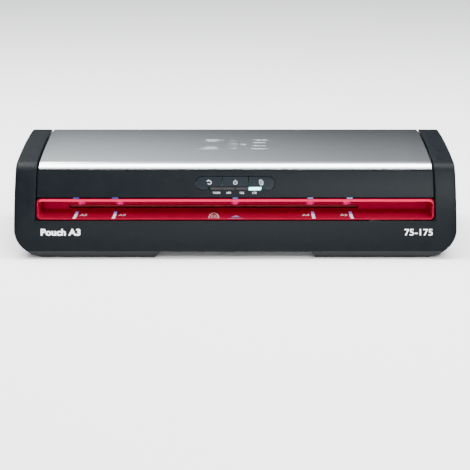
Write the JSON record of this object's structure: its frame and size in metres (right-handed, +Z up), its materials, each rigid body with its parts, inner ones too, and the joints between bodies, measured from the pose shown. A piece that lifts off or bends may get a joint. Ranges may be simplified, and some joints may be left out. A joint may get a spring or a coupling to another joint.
{
  "type": "pouch laminator",
  "caption": "Desktop laminator for A3 pouches with a red feed tray, a three-button panel, guide lights, two heated and two cold rollers and a gear drive.",
  "frame": {"origin": "middle of the footprint, on the table", "axes": "+X along the machine to its right end seen from the front, +Y from the front to the back, +Z up"},
  "size_m": [0.49, 0.18, 0.1088],
  "materials": {
    "black_plastic": "fine satin moulded plastic",
    "panel_plastic": "satin",
    "pan_plastic": "fine texture",
    "silver_plastic": "pearl silver paint",
    "red_plastic": "satin red",
    "rubber": "matte",
    "clear_plastic": "clear",
    "window_grey": "frosted",
    "window_lit": "lit",
    "button_plastic": "satin",
    "steel": "zinc plated",
    "aluminium": "extruded",
    "silicone": "silicone rubber",
    "acetal": "moulded",
    "dark_plastic": "moulded",
    "pcb": "solder resist",
    "copper": "wound",
    "ceramic": "matte"
  },
  "bodies": {
    "machine": {"main_housing": "black_plastic", "base_pan": "pan_plastic", "top_cover": "silver_plastic", "control_panel": "panel_plastic", "feed_tray": "red_plastic", "exit_guide": "dark_plastic", "rubber_feet": "rubber", "base_screws": "steel", "power_inlet": "dark_plastic", "guide_light_lenses": "clear_plastic", "guide_leds": "clear_plastic", "guide_light_board": "pcb", "indicator_windows": "window_grey", "lit_indicator_window": "window_lit", "indicator_leds": "clear_plastic", "switch_bodies": "steel", "control_board": "pcb", "left_frame_plate": "steel", "right_frame_plate": "steel", "frame_tie_bars": "steel", "frame_screws": "steel", "lower_bushes": "acetal", "hot_pressure_springs": "steel", "cold_pressure_springs": "steel", "idler_axle": "steel", "drive_motor": "steel", "motor_bracket": "steel", "bracket_posts": "steel", "upper_heater_plate": "aluminium", "lower_heater_plate": "aluminium", "heater_elements": "ceramic", "thermal_cutout": "steel", "thermistor": "ceramic", "heat_shield": "steel", "main_board": "pcb", "transformer": "copper", "board_components": "dark_plastic"},
    "reverse_button_body": {"reverse_button": "button_plastic", "reverse_switch_stem": "dark_plastic"},
    "power_button_body": {"power_button": "button_plastic", "power_switch_stem": "dark_plastic"},
    "thickness_button_body": {"thickness_button": "button_plastic", "thickness_switch_stem": "dark_plastic"},
    "hot_carriage": {"hot_bearing_blocks": "dark_plastic"},
    "cold_carriage": {"cold_bearing_blocks": "dark_plastic"},
    "idler": {"idler_gear": "acetal"},
    "motor_output": {"motor_shaft": "steel", "motor_pinion": "acetal"},
    "lower_hot_roller": {"lower_hot_roller_core": "steel", "lower_hot_roller_sleeve": "silicone", "lower_hot_roller_gear": "acetal"},
    "upper_hot_roller": {"upper_hot_roller_core": "steel", "upper_hot_roller_sleeve": "silicone", "upper_hot_roller_gear": "acetal"},
    "lower_cold_roller": {"lower_cold_roller_core": "steel", "lower_cold_roller_sleeve": "silicone", "lower_cold_roller_gear": "acetal"},
    "upper_cold_roller": {"upper_cold_roller_core": "steel", "upper_cold_roller_sleeve": "silicone", "upper_cold_roller_gear": "acetal"}
  },
  "joints": [
    {"name": "reverse_button_press", "type": "slide", "parent": "machine", "child": "reverse_button_body", "axis": [0, 0.866, -0.5], "range_m": [0, 0.0008], "stiffness_N_per_m": 800, "springref_m": -0.0006},
    {"name": "power_button_press", "type": "slide", "parent": "machine", "child": "power_button_body", "axis": [0, 0.866, -0.5], "range_m": [0, 0.0008], "stiffness_N_per_m": 800, "springref_m": -0.0006},
    {"name": "thickness_button_press", "type": "slide", "parent": "machine", "child": "thickness_button_body", "axis": [0, 0.866, -0.5], "range_m": [0, 0.0008], "stiffness_N_per_m": 800, "springref_m": -0.0006},
    {"name": "hot_carriage_lift", "type": "slide", "parent": "machine", "child": "hot_carriage", "axis": [0, 0, 1], "range_m": [0, 0.0008], "stiffness_N_per_m": 4000, "springref_m": -0.004, "deforming": ["hot_pressure_springs"]},
    {"name": "cold_carriage_lift", "type": "slide", "parent": "machine", "child": "cold_carriage", "axis": [0, 0, 1], "range_m": [0, 0.0008], "stiffness_N_per_m": 4000, "springref_m": -0.004, "deforming": ["cold_pressure_springs"]},
    {"name": "lower_hot_roller_turn", "type": "hinge", "parent": "machine", "child": "lower_hot_roller", "pos_m": [0, -0.014, 0.0324], "axis": [1, 0, 0], "continuous": true},
    {"name": "upper_hot_roller_turn", "type": "hinge", "parent": "hot_carriage", "child": "upper_hot_roller", "pos_m": [0, -0.014, 0.0576], "axis": [1, 0, 0], "continuous": true},
    {"name": "lower_cold_roller_turn", "type": "hinge", "parent": "machine", "child": "lower_cold_roller", "pos_m": [0, 0.0463, 0.0324], "axis": [1, 0, 0], "continuous": true},
    {"name": "upper_cold_roller_turn", "type": "hinge", "parent": "cold_carriage", "child": "upper_cold_roller", "pos_m": [0, 0.0463, 0.0576], "axis": [1, 0, 0], "continuous": true},
    {"name": "idler_turn", "type": "hinge", "parent": "machine", "child": "idler", "pos_m": [0.157, 0.01615, 0.0324], "axis": [1, 0, 0], "continuous": true},
    {"name": "motor_turn", "type": "hinge", "parent": "machine", "child": "motor_output", "pos_m": [0.157, 0.01615, 0.06005], "axis": [1, 0, 0], "continuous": true}
  ],
  "couplings": [
    {"joint": "upper_hot_roller_turn", "follows": "lower_hot_roller_turn", "ratio": -1},
    {"joint": "lower_cold_roller_turn", "follows": "lower_hot_roller_turn", "ratio": 1},
    {"joint": "upper_cold_roller_turn", "follows": "lower_hot_roller_turn", "ratio": -1},
    {"joint": "idler_turn", "follows": "lower_hot_roller_turn", "ratio": -0.71429},
    {"joint": "motor_turn", "follows": "lower_hot_roller_turn", "ratio": 1.25}
  ]
}
